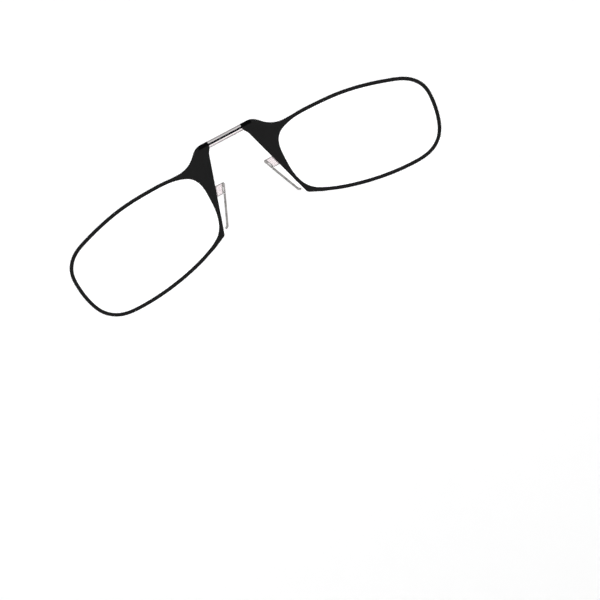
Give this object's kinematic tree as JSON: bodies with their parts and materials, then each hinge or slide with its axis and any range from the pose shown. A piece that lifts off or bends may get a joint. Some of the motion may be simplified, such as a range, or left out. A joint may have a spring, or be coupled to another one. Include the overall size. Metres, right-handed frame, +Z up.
{
  "type": "nose-clip reading glasses",
  "caption": "Very thin reading glasses without temples: two lens halves on a springy wire bridge clip on the nose with clear sprung pads.",
  "frame": {"origin": "the middle of the bridge, on the axis of its spring wire, where the glasses sit on the nose", "axes": "+X towards the wearer's left, +Y towards the wearer's face, +Z up as worn; the front faces -Y"},
  "size_m": [0.1138, 0.002, 0.0332],
  "materials": {
    "wire": "dark oxide of nickel-titanium spring wire",
    "sleeve": "clear silicone",
    "keeper": "gloss black",
    "frame": "matte black, fine moulded grain",
    "lens": "clear polished polycarbonate",
    "bracket": "clear polycarbonate",
    "leaf": "clear soft-touch elastomer"
  },
  "bodies": {
    "bridge": {"bridge_wire": "wire", "bridge_sleeve": "sleeve"},
    "left_half": {"left_frame": "frame", "left_lens": "lens", "left_wire_keeper": "keeper", "left_pad_bracket": "bracket"},
    "left_pad": {"left_pad_leaf": "leaf"},
    "right_half": {"right_frame": "frame", "right_lens": "lens", "right_wire_keeper": "keeper", "right_pad_bracket": "bracket"},
    "right_pad": {"right_pad_leaf": "leaf"}
  },
  "joints": [
    {"name": "left_half_flex", "type": "hinge", "parent": "bridge", "child": "left_half", "pos_m": [0.0026, 0, 0], "axis": [0, -1, 0], "range_deg": [-10, 16], "stiffness_Nm_per_rad": 0.012, "deforming": ["bridge_wire", "bridge_sleeve"]},
    {"name": "left_pad_flex", "type": "hinge", "parent": "left_half", "child": "left_pad", "pos_m": [0.00773, 0, -0.01368], "axis": [0, -1, 0], "range_deg": [0, 1.2], "stiffness_Nm_per_rad": 0.002},
    {"name": "right_half_flex", "type": "hinge", "parent": "bridge", "child": "right_half", "pos_m": [-0.0026, 0, 0], "axis": [0, -1, 0], "range_deg": [-16, 10], "stiffness_Nm_per_rad": 0.012},
    {"name": "right_pad_flex", "type": "hinge", "parent": "right_half", "child": "right_pad", "pos_m": [-0.00773, 0, -0.01368], "axis": [0, -1, 0], "range_deg": [-1.2, 0], "stiffness_Nm_per_rad": 0.002}
  ],
  "couplings": [
    {"joint": "right_half_flex", "follows": "left_half_flex", "ratio": -1}
  ]
}
